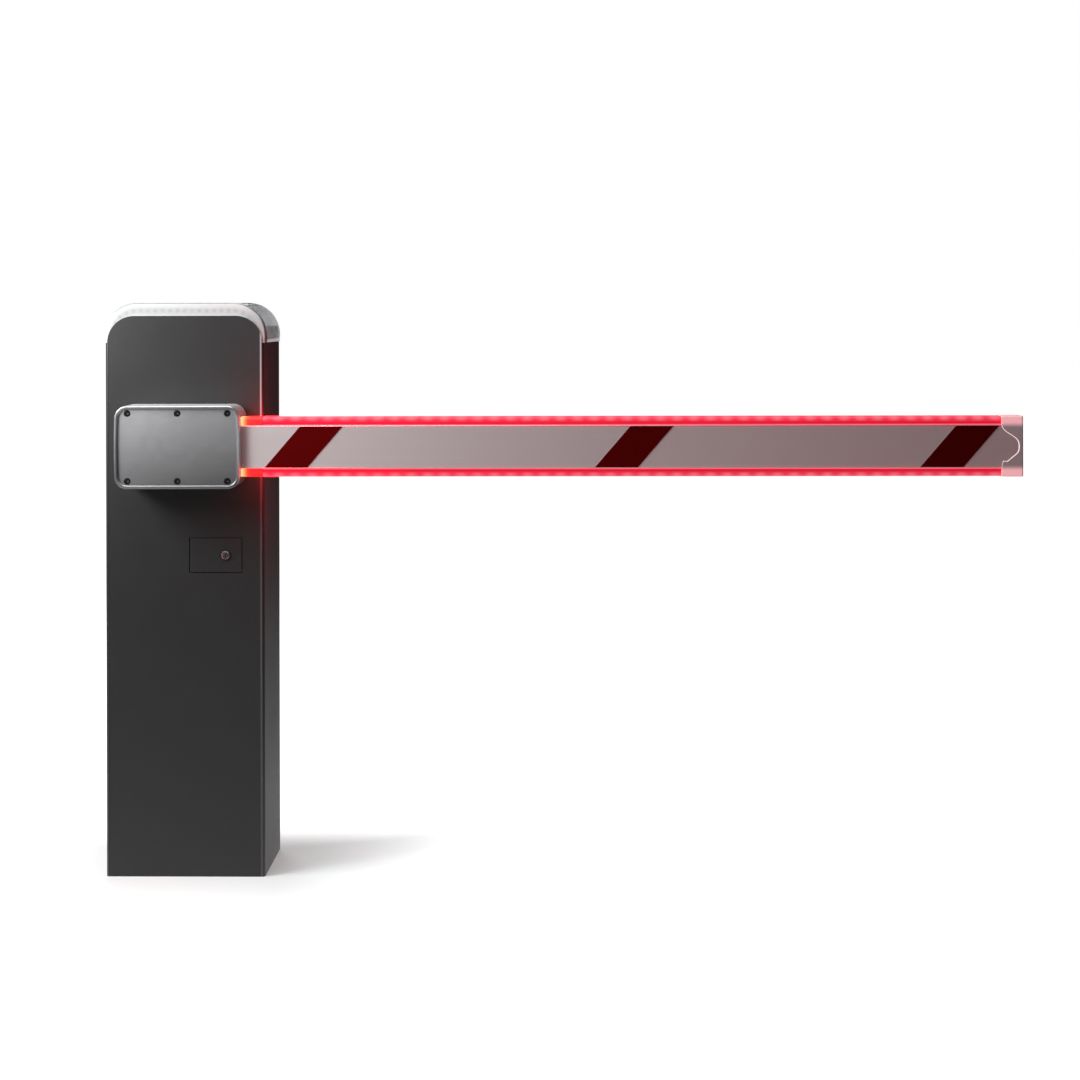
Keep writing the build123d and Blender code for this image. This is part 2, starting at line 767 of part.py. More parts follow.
pieces = {
    "base_plate": base_plate.part,
    "side_panel_right": side_panel_right.part,
    "side_panel_left": side_panel_left.part,
    "front_panel": front_panel.part,
    "rear_door": rear_door.part,
    "top_tray": top_tray.part,
    "crown_hood": crown_hood.part,
    "crown_lens": crown_lens.part,
    "crown_led_board": crown_led_board.part,
    "crown_light_carrier": crown_light_carrier.part,
    "shaft_bearing": shaft_bearing.part,
    "release_well": release_well.part,
    "release_socket": release_socket.part,
    "release_hinge_pin": release_hinge_pin.part,
    "release_door": release_door.part,
    "lock_seal": lock_seal.part,
    "lock_bezel": lock_bezel.part,
    "lock_core": lock_core.part,
    "drive_shaft": drive_shaft.part,
    "bracket_shell": bracket_shell.part,
    "bracket_cover": bracket_cover.part,
    "boom_profile": boom_profile.part,
    "led_strip_top": led_strip_top.part,
    "led_strip_bottom": led_strip_bottom.part,
    "led_lead_top": led_lead_top.part,
    "led_lead_bottom": led_lead_bottom.part,
    "boom_end_cap": boom_end_cap.part,
}
for number, start in enumerate(reflector_starts, 1):
    pieces[f"reflector_front_{number}"] = reflector(start, boom_front + reflector_thickness)
    pieces[f"reflector_rear_{number}"] = reflector(start, boom_back)

for name, part in pieces.items():
    part.label = name
    export_step(part, f"parts/{name}.step")
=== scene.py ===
"""Looks of a parking barrier with a lit crown and a lit boom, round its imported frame.

Lengths are metres in the frame: the origin is the centre of the cabinet's base
on the ground, +Z is up, the cabinet's front faces -Y and the boom points to +X.
"""

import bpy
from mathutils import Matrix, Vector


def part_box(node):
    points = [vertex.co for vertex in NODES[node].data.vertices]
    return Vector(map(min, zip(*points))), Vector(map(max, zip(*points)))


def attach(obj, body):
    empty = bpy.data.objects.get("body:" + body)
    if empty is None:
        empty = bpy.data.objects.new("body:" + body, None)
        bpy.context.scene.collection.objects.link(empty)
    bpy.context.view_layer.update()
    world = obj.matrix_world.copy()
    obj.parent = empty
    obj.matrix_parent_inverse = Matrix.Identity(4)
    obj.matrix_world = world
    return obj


bl_info = {
    "name": "Parking Barrier",
    "version": (1, 0, 0),
    "blender": (4, 5, 0),
    "location": "3D View > Sidebar > Barrier",
    "description": "Paint, lights, screws and studio for a parking barrier",
    "category": "Add Mesh",
}

import math
from contextlib import contextmanager
from functools import reduce

import bmesh
import bpy
from bpy.props import FloatProperty, FloatVectorProperty, PointerProperty
from mathutils import Vector

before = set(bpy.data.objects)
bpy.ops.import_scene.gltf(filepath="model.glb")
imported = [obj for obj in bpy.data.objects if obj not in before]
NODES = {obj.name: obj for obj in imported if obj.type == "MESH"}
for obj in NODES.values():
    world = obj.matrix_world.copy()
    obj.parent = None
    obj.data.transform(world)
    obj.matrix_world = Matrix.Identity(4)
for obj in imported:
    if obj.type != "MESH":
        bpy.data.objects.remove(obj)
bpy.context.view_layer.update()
MM = 0.001


def middle(node):
    """Centre of a node's box."""
    low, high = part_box(node)
    return (low + high) / 2


# Places read from the frame
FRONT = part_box("front_panel")[0].y
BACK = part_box("rear_door")[1].y
HALF_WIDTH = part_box("side_panel_right")[1].x
DOOR_LOW, DOOR_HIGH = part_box("release_door")
COVER_LOW, COVER_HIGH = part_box("bracket_cover")
PIVOT_HEIGHT = middle("boom_profile").z
BOOM_HALF_FACE = (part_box("boom_profile")[1].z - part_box("boom_profile")[0].z) / 2
STRIP_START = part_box("led_strip_top")[0].x
CAP_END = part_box("boom_end_cap")[1].x
TRAY_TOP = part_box("top_tray")[1].z
LENS_LOW, LENS_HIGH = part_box("crown_lens")

# Sizes of the solids that their boxes don't give
BEND = 6.0 * MM
BEAD_HEIGHT = 4.5 * MM
FIELD = COVER_LOW.y + BEAD_HEIGHT
REFLECTOR_SLANT = 70.0 * MM
LENS_CORNER = 65.0 * MM
LIP_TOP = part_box("crown_hood")[0].z + 6.0 * MM

# Where the sunk screws sit
COVER_SCREW_X = 98.8 * MM
COVER_SCREW_Z = 66.8 * MM
COVER_SINK_DEPTH = 4.5 * MM
REAR_SCREW_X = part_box("rear_door")[1].x - 7.0 * MM
REAR_SCREW_ROWS = 4
REAR_SCREW_MARGIN = 60.0 * MM
CAP_SINK_DEPTH = 2.6 * MM
CAP_SCREW_Y = 16.0 * MM
CAP_SCREW_Z = 38.2 * MM

# Painted highlight: a pale line along the right bend, which fades out behind the lowered boom
HIGHLIGHT_LINE = HALF_WIDTH - BEND - 0.5 * MM
HIGHLIGHT_FROM = 800.0 * MM
HIGHLIGHT_FADE = 120.0 * MM

# Row of lamps behind the lens, measured in from its edge
LAMP_INSET = 15.5 * MM

# Half width over which a band's end fades
BAND_BLUR = 0.8 * MM

# Studio
PHOTO_PIXELS = 1080
SENSOR_WIDTH = 36.0
VIEW_END = 200.0
FLOOR_SIZE = 60.0
SHADOW_REACH = 0.64
LIT_PLACE = (0.1, 0.0, 0.8)
SOFT_BOXES = {
    "side": {"place": (-1.6, -0.75, 2.2), "size": 1.0},
    "near": {"place": (-0.6, -0.7, 1.25), "size": 0.4},
    "top": {"place": (0.0, -0.35, 2.4), "size": 0.8},
    "back": {"place": (-0.9, 3.0, 2.2), "size": 1.4},
}

BLACK = (0.0, 0.0, 0.0)

# With alpha, as a shader's own socket takes it
FULL_WHITE = (1.0, 1.0, 1.0, 1.0)


class BarrierFinish(bpy.types.PropertyGroup):
    """Colours and sizes that a user would change on the barrier."""

    paint: FloatVectorProperty(
        name="Cabinet paint", description="Colour of the powder coat",
        subtype="COLOR", size=3, min=0, max=1, default=(0.026, 0.026, 0.027),
    )
    bracket: FloatVectorProperty(
        name="Bracket paint", description="Colour of the arm bracket's silver paint",
        subtype="COLOR", size=3, min=0, max=1, default=(0.53, 0.53, 0.545),
    )
    boom: FloatVectorProperty(
        name="Boom", description="Colour of the boom's anodised face",
        subtype="COLOR", size=3, min=0, max=1, default=(0.80, 0.785, 0.785),
    )
    sheet_red: FloatVectorProperty(
        name="Reflector red", description="Colour of the reflective sheet",
        subtype="COLOR", size=3, min=0, max=1, default=(0.10, 0.0, 0.0005),
    )
    strip_red: FloatVectorProperty(
        name="Strip red", description="Light of the strips between two lamps",
        subtype="COLOR", size=3, min=0, max=1, default=(0.67, 0.0144, 0.048),
    )
    strip_glow: FloatVectorProperty(
        name="Strip glow", description="Light of the strips over a lamp",
        subtype="COLOR", size=3, min=0, max=1, default=(0.74, 0.172, 0.22),
    )
    strip_shade: FloatVectorProperty(
        name="Strip shade", description="Light of the strips beside the boom",
        subtype="COLOR", size=3, min=0, max=1, default=(0.55, 0.006, 0.026),
    )
    strip_light: FloatProperty(
        name="Strip strength", description="Red light of the strips along the boom",
        min=0, max=40, default=1.0,
    )
    start_light: FloatProperty(
        name="Start strength", description="Red light of the strips where they start",
        min=0, max=200, default=34.0,
    )
    start_reach: FloatProperty(
        name="Start reach", description="Length over which the strong red light fades",
        subtype="DISTANCE", unit="LENGTH", min=0.01, max=1.5, default=0.32,
    )
    feed_light: FloatProperty(
        name="Feed strength", description="Red light of the feed lengths at the bracket",
        min=0, max=80, default=10.0,
    )
    strip_pitch: FloatProperty(
        name="Strip pitch", description="Distance between two lamps in a strip",
        subtype="DISTANCE", unit="LENGTH", min=0.01, max=0.1, default=0.0327,
    )
    crown_pitch: FloatProperty(
        name="Crown pitch", description="Distance between two lamps in the crown",
        subtype="DISTANCE", unit="LENGTH", min=0.005, max=0.05, default=0.0148,
    )
    cover_screw: FloatProperty(
        name="Cover screw", description="Head radius of the cover's socket screws",
        subtype="DISTANCE", unit="LENGTH", min=0.003, max=0.0066, default=0.0062,
    )
    rear_screw: FloatProperty(
        name="Rear screw", description="Head radius of the rear panel's button screws",
        subtype="DISTANCE", unit="LENGTH", min=0.003, max=0.0066, default=0.0048,
    )
    cap_screw: FloatProperty(
        name="Cap screw", description="Head radius of the end cap's screws",
        subtype="DISTANCE", unit="LENGTH", min=0.002, max=0.0043, default=0.0038,
    )


class BarrierStudio(bpy.types.PropertyGroup):
    """Camera and lights of the studio."""

    camera_place: FloatVectorProperty(
        name="Camera", description="Place of the camera",
        subtype="XYZ", unit="LENGTH", size=3, default=(0.7795, -4.046, 1.1469),
    )
    camera_yaw: FloatProperty(
        name="Yaw", description="Turn of the camera to the left",
        subtype="ANGLE", unit="ROTATION", default=0.01635,
    )
    camera_roll: FloatProperty(
        name="Roll", description="Tilt of the camera to its side",
        subtype="ANGLE", unit="ROTATION", default=0.00226,
    )
    focal_pixels: FloatProperty(
        name="Focal length", description="Focal length in pixels of the photograph's frame",
        min=500, default=1966.1,
    )
    axis_rise: FloatProperty(
        name="Axis rise", description="Pixels from the frame's centre up to the optical axis",
        default=234.6,
    )
    side_power: FloatProperty(
        name="Side light", description="Power of the soft light high at the left", unit="POWER",
        min=0, default=58.0,
    )
    near_power: FloatProperty(
        name="Near light", description="Power of the small soft light before the left side",
        unit="POWER", min=0, default=6.6,
    )
    top_power: FloatProperty(
        name="Top light", description="Power of the soft light above the barrier", unit="POWER",
        min=0, default=27.0,
    )
    back_power: FloatProperty(
        name="Back light", description="Power of the soft light behind the barrier", unit="POWER",
        min=0, default=50.0,
    )
    ambient: FloatProperty(
        name="Ambient", description="Strength of the room's light", min=0, default=0.05,
    )


class Value:
    """An output socket that adds its Math nodes when it stands in an expression."""

    def __init__(self, shading, socket):
        self.shading = shading
        self.socket = socket

    def math(self, operation, *others):
        """Math on this value and others, in this order."""
        return self.shading.math(operation, self, *others)

    def __add__(self, other):
        return self.math("ADD", other)

    def __sub__(self, other):
        return self.math("SUBTRACT", other)

    def __rsub__(self, other):
        return self.shading.math("SUBTRACT", other, self)

    def __mul__(self, other):
        return self.math("MULTIPLY", other)

    def __truediv__(self, other):
        return self.math("DIVIDE", other)

    def __rtruediv__(self, other):
        return self.shading.math("DIVIDE", other, self)

    def __pow__(self, other):
        return self.math("POWER", other)

    def __abs__(self):
        return self.math("ABSOLUTE")

    __radd__ = __add__
    __rmul__ = __mul__

    def most(self, other):
        """The larger of two values."""
        return self.math("MAXIMUM", other)

    def least(self, other):
        """The smaller of two values."""
        return self.math("MINIMUM", other)

    def share(self, low, high):
        """0 at low, 1 at high, and straight between them."""
        return self.shading.node(
            "ShaderNodeMapRange", sockets={"Value": self, "From Min": low, "From Max": high}
        )

    def step(self, low, high):
        """0 below low, 1 above high, and smooth between them."""
        return self.shading.node(
            "ShaderNodeMapRange", {"interpolation_type": "SMOOTHSTEP"},
            {"Value": self, "From Min": low, "From Max": high},
        )

    def between(self, start, end):
        """1 between start and end, with soft ends."""
        begun = self.step(start - BAND_BLUR, start + BAND_BLUR)
        return begun * (1 - self.step(end - BAND_BLUR, end + BAND_BLUR))


class Shading:
    """The nodes of a material or a world, and the shortcuts that the finishes below share."""

    def __init__(self, owner):
        self.owner = owner
        owner.use_nodes = True
        self.tree = owner.node_tree
        self.tree.nodes.clear()

    def node(self, kind, settings=None, sockets=None, output=0):
        """Adds a node: its settings first, then its sockets' values or links."""
        made = self.tree.nodes.new(kind)
        for key, setting in (settings or {}).items():
            if key == "stops":
                self.fill_ramp(made.color_ramp, setting)
            else:
                setattr(made, key, setting)
        for key, value in (sockets or {}).items():
            if isinstance(value, Value):
                self.tree.links.new(value.socket, made.inputs[key])
            else:
                made.inputs[key].default_value = value
        return Value(self, made.outputs[output]) if len(made.outputs) else None

    @staticmethod
    def fill_ramp(ramp, stops):
        """Sets a colour ramp to (position, colour) stops."""
        while len(ramp.elements) < len(stops):
            ramp.elements.new(1.0)
        for element, (position, colour) in zip(ramp.elements, stops):
            element.position = position
            element.color = (*colour, 1.0)

    def math(self, operation, *operands):
        """A Math node on values and numbers."""
        return self.node("ShaderNodeMath", {"operation": operation}, dict(enumerate(operands)))

    def mix(self, factor, first, second):
        """Colour between two colours."""
        ends = [(*end, 1.0) if isinstance(end, tuple) else end for end in (first, second)]
        return self.node(
            "ShaderNodeMix", {"data_type": "RGBA"},
            {"Factor": factor, 6: ends[0], 7: ends[1]}, output=2,
        )

    def ray(self, kind):
        """1 where the ray is a Camera, Glossy or Transmission ray."""
        return self.node("ShaderNodeLightPath", output=f"Is {kind} Ray")


class Finish(Shading):
    """One material, on the coordinates of its own object."""

    def __init__(self, name):
        super().__init__(bpy.data.materials.new(name))
        self.place = self.node("ShaderNodeTexCoord", output="Object")

    def axis(self, name):
        """One coordinate of the object's own place."""
        return self.node("ShaderNodeSeparateXYZ", sockets={0: self.place}, output=name)

    def noise(self, scale, detail, stretch=(1, 1, 1)):
        """Noise from 0 to 1, with scale waves in a metre, squeezed by stretch."""
        mapped = self.node(
            "ShaderNodeMapping", sockets={"Vector": self.place, "Scale": stretch}
        )
        return self.node(
            "ShaderNodeTexNoise", sockets={"Vector": mapped, "Scale": scale, "Detail": detail}
        )

    def bump(self, height, depth, strength):
        """Normal of a surface raised by height times depth metres."""
        return self.node(
            "ShaderNodeBump",
            sockets={"Height": height, "Distance": depth, "Strength": strength},
        )

    def done(self, **sockets):
        """Closes the material with a Principled BSDF and returns it."""
        named = {key.replace("_", " "): value for key, value in sockets.items()}
        for key, value in named.items():
            if isinstance(value, tuple) and len(value) == 3:
                named[key] = (*value, 1.0)
        shader = self.node("ShaderNodeBsdfPrincipled", sockets=named)
        self.node("ShaderNodeOutputMaterial", sockets={"Surface": shader})
        return self.owner


def shade(colour, factor):
    """A colour made lighter or darker."""
    return tuple(min(1.0, part * factor) for part in colour)


def door_seam(look):
    """1 in the seam round the release door's sides and bottom, widest at its hinge, where the cabinet
    paint holds painted shade.
    """
    across = look.axis("X")
    height = look.axis("Z")
    beside = height.between(DOOR_LOW.z - 0.8 * MM, DOOR_HIGH.z + 0.8 * MM)
    hinge_side = across.between(DOOR_LOW.x - 1.5 * MM, DOOR_LOW.x + 0.5 * MM)
    lock_side = across.between(DOOR_HIGH.x - 0.2 * MM, DOOR_HIGH.x + 1.2 * MM)
    under = height.between(DOOR_LOW.z - 1.2 * MM, DOOR_LOW.z + 0.4 * MM)
    beneath = under * across.between(DOOR_LOW.x, DOOR_HIGH.x)
    return (hinge_side * beside + lock_side * beside + beneath).least(1.0)


def powder_coat(colour):
    """Fine-textured satin powder coat, with a painted highlight along the right bend, painted shade
    on the outer bends and in the door's seam, and the strips' red light painted on as a glow.
    """
    look = Finish("cabinet_paint")
    cloud = look.noise(9.0, 3.0)
    grain = look.noise(1400.0, 2.0)
    tint = look.mix(cloud * 0.6 + grain * 0.4, shade(colour, 0.9), shade(colour, 1.1))
    right = look.axis("X")
    height = look.axis("Z")
    depth = look.axis("Y") - FRONT
    front = 1 - depth.step(BEND - 1 * MM, BEND + 1 * MM)
    side = abs(right)
    bend = side.step(HALF_WIDTH - BEND, HALF_WIDTH - BEND + 1 * MM) * front
    # Painted shade: darker on the outer part of both front bends, and in the release door's seam
    outer = side.step(HALF_WIDTH - 3.5 * MM, HALF_WIDTH - 1.5 * MM) * front
    dark = (outer * 0.6).most(door_seam(look) * front)
    # Painted highlight: a pale line along the right bend, which also glows high up and fades out
    # behind the lowered boom
    painted_highlight = (1 - abs(right - HIGHLIGHT_LINE).step(0.6 * MM, 2.4 * MM)) * front
    upper = height.step(HIGHLIGHT_FROM, HIGHLIGHT_FROM + HIGHLIGHT_FADE)
    pale = look.mix(upper, (0.15, 0.145, 0.145), (0.15, 0.165, 0.165))
    # Painted light: the strips' red light as a glow on the right side near the boom, strongest at its
    # front
    facing = right.step(HALF_WIDTH - 2 * MM, HALF_WIDTH - 0.5 * MM)
    near = 1 - abs(height - PIVOT_HEIGHT).step(0.1, 0.5)
    red = facing * near * (1 - depth.step(0.0, 0.1) * 0.6)
    glow = look.mix(red, BLACK, (0.026, 0.0, 0.002))
    return look.done(
        Base_Color=look.mix(painted_highlight, look.mix(dark, tint, (0.002, 0.002, 0.002)), pale),
        Roughness=0.36 + cloud * 0.1, Coat_Weight=bend * 0.4, Coat_Roughness=0.16,
        Emission_Color=look.mix(painted_highlight * upper, glow, (0.24, 0.22, 0.235)), Emission_Strength=1.0,
        Normal=look.bump(grain, 0.00006, 0.7),
    )


def cast_silver(colour):
    """Satin silver paint with fine flakes, with painted shade: darker to the lower right and on the
    cover's bead, where its right side holds a painted highlight.
    """
    look = Finish("bracket_paint")
    flake = look.noise(2600.0, 1.0)
    swell = look.noise(60.0, 2.0)
    streak = look.noise(500.0, 2.0, (0.03, 1, 1))
    across = look.axis("X")
    height = look.axis("Z")
    up = height.share(COVER_LOW.z, COVER_HIGH.z)
    left = 1 - across.share(COVER_LOW.x, COVER_HIGH.x)
    texture = flake * 0.7 + streak * 0.3
    # Lit and shaded copies of the paint, mixed from the upper left to the lower right: painted light
    # and shade
    light = look.mix(texture, shade(colour, 1.2), shade(colour, 1.56))
    dark = look.mix(texture, shade(colour, 0.24), shade(colour, 0.42))
    plain = look.mix(up * 0.78 + left * 0.22, dark, light)
    # Painted shade on the bead's inner flanks and over all but its bottom, and a painted highlight on
    # its right side
    bead = 1 - (look.axis("Y") - FIELD).step(-1.5 * MM, -0.3 * MM)
    left_flank = (across - COVER_LOW.x).between(3.8 * MM, 8.0 * MM)
    top_flank = (COVER_HIGH.z - height).between(3.8 * MM, 8.0 * MM)
    low_flank = (height - COVER_LOW.z).between(6.5 * MM, 9.5 * MM)
    flank = left_flank.most(top_flank).most(low_flank)
    painted_bead_shade = (flank * 0.2 + 0.02 + up.step(0.04, 0.16) * 0.42) * bead
    bright = across.step(COVER_HIGH.x - 7 * MM, COVER_HIGH.x - 2 * MM) * bead
    tone = look.mix(painted_bead_shade, plain, (0.05, 0.05, 0.052))
    return look.done(
        Base_Color=look.mix(bright * 0.85, tone, (0.9, 0.88, 0.9)),
        Metallic=0.75, Roughness=0.36 + swell * 0.08,
        Normal=look.bump(flake * 0.4 + swell, 0.00005, 0.6),
    )


def anodised(colour):
    """Satin anodised extrusion with faint lines along the boom, with the strips' red light and the
    bracket's shadow painted on.
    """
    look = Finish("boom_aluminium")
    lines = look.noise(700.0, 2.0, (0.004, 1, 1))
    cloud = look.noise(5.0, 2.0)
    tint = look.mix(lines * 0.7 + cloud * 0.3, shade(colour, 0.93), shade(colour, 1.05))
    height = look.axis("Z") - PIVOT_HEIGHT
    # Painted light: the strips' red light as a glow over the face, strongest beside the strips, and
    # as a red top edge
    painted_red_glow = abs(height).step(BOOM_HALF_FACE - 9 * MM, BOOM_HALF_FACE)
    painted_red_edge = height.step(BOOM_HALF_FACE - 4 * MM, BOOM_HALF_FACE - 1.5 * MM)
    # Painted shadow of the bracket where the boom leaves it
    shaded = 1 - look.axis("X").step(COVER_HIGH.x + 2 * MM, COVER_HIGH.x + 24 * MM)
    plain = look.mix(shaded * 0.3, tint, (0.05, 0.05, 0.05))
    return look.done(
        Base_Color=look.mix(painted_red_edge * 0.6, plain, (0.6, 0.2, 0.23)),
        Metallic=0.5, Roughness=0.42 + lines * 0.08,
        Emission_Color=look.mix(painted_red_glow, (0.065, 0.0, 0.004), (0.16, 0.004, 0.012)),
        Emission_Strength=1.0, Normal=look.bump(lines, 0.00003, 0.6),
    )


def plated_steel():
    """Zinc-plated steel with a faint spangle."""
    look = Finish("steel")
    spangle = look.node(
        "ShaderNodeTexVoronoi", sockets={"Vector": look.place, "Scale": 140.0}, output="Color"
    )
    value = look.node("ShaderNodeRGBToBW", sockets={0: spangle})
    tint = look.mix(value, (0.44, 0.45, 0.46), (0.6, 0.6, 0.6))
    return look.done(Base_Color=tint, Metallic=1.0, Roughness=0.28 + value * 0.14)


def lock_metal(name):
    """Dark plated lock face with painted highlights: a bright ring round its keyway, brightest at its
    upper left, and a fainter ring at its hub.
    """
    look = Finish(name)
    centre = middle("lock_core")
    x = look.axis("X") - centre.x
    z = look.axis("Z") - centre.z
    radius = (x * x + z * z) ** 0.5
    ring_radius = 7.1 * MM
    hub_radius = 3.2 * MM
    scratch = look.noise(900.0, 3.0, (1, 1, 0.06))
    ring = 1 - abs(radius - ring_radius).step(0.3 * MM, 1.4 * MM)
    hub = 1 - abs(radius - hub_radius).step(0.1 * MM, 0.8 * MM)
    # Painted highlights on the ring and the hub; the ring's is brightest at its upper left
    lit = (z - x).step(-6 * MM, 9 * MM)
    bright = ring * (0.16 + lit * 0.84) + hub * 0.3
    tint = look.mix(bright, (0.02, 0.016, 0.017), (1.0, 0.92, 0.94))
    return look.done(
        Base_Color=look.mix(scratch * 0.3, tint, (0.02, 0.02, 0.02)), Metallic=0.15,
        Roughness=0.34 + scratch * 0.14, Normal=look.bump(ring + hub * 0.3, 0.0006, 1.0),
    )


def socket_highlight_mask(look):
    """1 in the sockets of the cover's screws, where a highlight is painted; their rows and columns
    are evenly spaced.
    """
    across = (look.axis("X") - middle("bracket_cover").x).math("PINGPONG", COVER_SCREW_X / 2)
    up = (look.axis("Z") - PIVOT_HEIGHT + COVER_SCREW_Z).math("PINGPONG", COVER_SCREW_Z)
    return 1 - (across * across + up * up).step((1.4 * MM) ** 2, (2.8 * MM) ** 2)


def black_oxide(name, highlit_sockets=False):
    """Black oxide steel, with a painted highlight in the sockets of the cover's screws when asked."""
    look = Finish(name)
    grain = look.noise(1500.0, 2.0)
    tint = look.mix(grain, (0.002, 0.002, 0.002), (0.008, 0.008, 0.008))
    if highlit_sockets:
        # Painted highlight: paler in the middle of each socket
        tint = look.mix(socket_highlight_mask(look) * 0.8, tint, (0.27, 0.27, 0.27))
    return look.done(Base_Color=tint, Metallic=0.2, Roughness=0.32 + grain * 0.16)


def black_rubber():
    """Black seal under the lock."""
    look = Finish("black_seal")
    grain = look.noise(1100.0, 2.0)
    tint = look.mix(grain, (0.006, 0.006, 0.006), (0.014, 0.013, 0.013))
    return look.done(Base_Color=tint, Roughness=0.6 + grain * 0.2)


def moulded(name, colour):
    """Plain moulded plastic with a fine spark texture."""
    look = Finish(name)
    grain = look.noise(1200.0, 2.0)
    cloud = look.noise(20.0, 2.0)
    tint = look.mix(grain * 0.5 + cloud * 0.5, shade(colour, 0.93), shade(colour, 1.07))
    return look.done(
        Base_Color=tint, Roughness=0.45 + grain * 0.1, Normal=look.bump(grain, 0.00004, 0.6)
    )


def clear_plastic():
    """Clear moulded hood with a fine prismatic grain, a painted glow on its lip and a fainter one
    above the tray.
    """
    look = Finish("clear_hood")
    ripple = look.noise(70.0, 2.0)
    grain = look.noise(420.0, 2.0, (1, 0.35, 1))
    height = look.axis("Z")
    # Painted glow: on the lip, and fainter where the hood stands above the tray
    lip = 1 - height.step(LIP_TOP - 0.6 * MM, LIP_TOP + 0.6 * MM)
    above_tray = height.step(TRAY_TOP - 0.8 * MM, TRAY_TOP + 0.8 * MM)
    glow = look.mix(above_tray, BLACK, (0.045, 0.044, 0.045))
    return look.done(
        Base_Color=look.mix(grain, (0.62, 0.62, 0.64), (0.98, 0.98, 0.99)),
        Roughness=0.04 + ripple * 0.05, IOR=1.49, Transmission_Weight=0.92,
        Emission_Color=look.mix(lip, glow, (0.10, 0.09, 0.094)), Emission_Strength=1.0,
        Normal=look.bump(ripple + grain * 0.3, 0.0003, 0.5),
    )


def frosted_lens(pitch):
    """Frosted front of the crown: white at its rim, greyer over the lamps of its board, with painted
    shade on its right shoulder.
    """
    look = Finish("frosted_lens")
    row_radius = LENS_CORNER - LAMP_INSET
    centre_x = LENS_HIGH.x - LENS_CORNER
    centre_z = LENS_HIGH.z - LENS_CORNER
    right = look.axis("X")
    x = abs(right)
    z = look.axis("Z")

    # Place along the row of lamps and distance outward from it
    over = (x - centre_x).most(0.0)
    up = (z - centre_z).most(0.0)
    down = (centre_z - z).most(0.0)
    turn = over.math("ARCTAN2", up + 1e-6)
    along = x.least(centre_x) + turn * row_radius + down
    outward = (over * over + up * up) ** 0.5 - row_radius

    beat = along.math("PINGPONG", pitch / 2)
    distance = (beat * beat + outward * outward) ** 0.5
    cloud = look.noise(45.0, 2.0)
    blotch = look.noise(160.0, 3.0)
    lamp = (1 - distance.step(1.0 * MM, 6.5 * MM)) * (0.25 + blotch * 0.75)
    row = 1 - abs(outward + 1.0 * MM).step(2.0 * MM, 12.5 * MM)
    grey = lamp * 0.4 + row * 0.5 + blotch * 0.15
    # Painted shade on the right shoulder, tinted cyan against the strips' red light; darker along the
    # outer edge at the top and upper corners, and grey behind the front face
    shoulder = right.step(centre_x + 8 * MM, LENS_HIGH.x)
    edge = outward.step(13.4 * MM, 14.6 * MM) * (1 - turn.step(0.7, 0.9))
    skirt = (look.axis("Y") - LENS_LOW.y).step(1.0 * MM, 2.4 * MM)
    tone = look.mix(grey, (0.645, 0.66, 0.66), (0.375, 0.385, 0.39))
    tone = look.mix(shoulder * 0.75, tone, (0.22, 0.25, 0.255))
    tone = look.mix(edge * 0.85, tone, (0.14, 0.14, 0.145))
    tone = look.mix(skirt, tone, (0.2, 0.2, 0.205))
    return look.done(
        Base_Color=tone, Roughness=0.4 + cloud * 0.1, Emission_Color=tone,
        Emission_Strength=0.04, Specular_IOR_Level=0.15,
    )


def red_light(look, shown, gain):
    """A shown colour with its red part made stronger, which lights what stands beside it."""
    red, green, blue = (
        look.node("ShaderNodeSeparateColor", sockets={0: shown}, output=part)
        for part in ("Red", "Green", "Blue")
    )
    return look.node(
        "ShaderNodeCombineColor", sockets={"Red": red * gain, "Green": green, "Blue": blue}
    )


def lit_strip(finish):
    """Red silicone strip: a paler glow over each lamp, on the strip's outer part."""
    look = Finish("red_light_strip")
    past = look.axis("X") - STRIP_START
    height = abs(look.axis("Z") - PIVOT_HEIGHT) - BOOM_HALF_FACE
    cloud = look.noise(120.0, 2.0)
    over_lamp = (past * (2 * math.pi / finish.strip_pitch)).math("COSINE") * 0.5 + 0.5
    outer = height.step(6 * MM, 12 * MM)
    rim = height.step(11 * MM, 15 * MM)
    glow = outer * (over_lamp * 0.6 + rim * 0.3 + cloud * 0.25)
    bright = look.mix(glow, tuple(finish.strip_red), tuple(finish.strip_glow))
    body = look.mix(height.step(3 * MM, 8 * MM), tuple(finish.strip_shade), bright)
    lip = 1 - height.step(1.4 * MM, 2.8 * MM)
    joint = 1 - past.step(0.6 * MM, 2.4 * MM)
    shown = look.mix(joint, look.mix(lip, body, (0.86, 0.13, 0.168)), (0.45, 0.002, 0.012))
    near = 1 - past.step(0.0, finish.start_reach)
    gain = finish.strip_light + near * near * (finish.start_light - finish.strip_light)
    return look.done(
        Base_Color=look.mix(cloud, (0.45, 0.0, 0.01), (0.6, 0.005, 0.02)),
        Roughness=0.5 + cloud * 0.1, Specular_IOR_Level=0.25,
        Emission_Color=red_light(look, shown, gain * (1 - joint) + joint), Emission_Strength=1.0,
    )


def lit_feed(finish):
    """Feed length of a strip: white-hot at the bracket, then orange, then red."""
    look = Finish("feed_light_strip")
    run = look.axis("X").share(COVER_HIGH.x, STRIP_START)
    light = look.node(
        "ShaderNodeValToRGB",
        {"stops": [
            (0.0, (0.86, 0.67, 0.40)), (0.08, (0.95, 0.6, 0.22)), (0.17, (0.95, 0.3, 0.08)),
            (0.28, (0.85, 0.07, 0.04)), (0.45, (0.78, 0.025, 0.028)), (0.85, (0.74, 0.014, 0.02)),
            (1.0, (0.7, 0.02, 0.032)),
        ]},
        {"Fac": run},
    )
    cloud = look.noise(120.0, 2.0)
    hot = 1 - run.step(0.1, 0.4)
    return look.done(
        Base_Color=look.mix(cloud, (0.5, 0.01, 0.01), (0.6, 0.02, 0.015)),
        Roughness=0.5 + cloud * 0.1, Specular_IOR_Level=0.25,
        Emission_Color=look.mix(hot, red_light(look, light, finish.feed_light), light),
        Emission_Strength=1.0,
    )


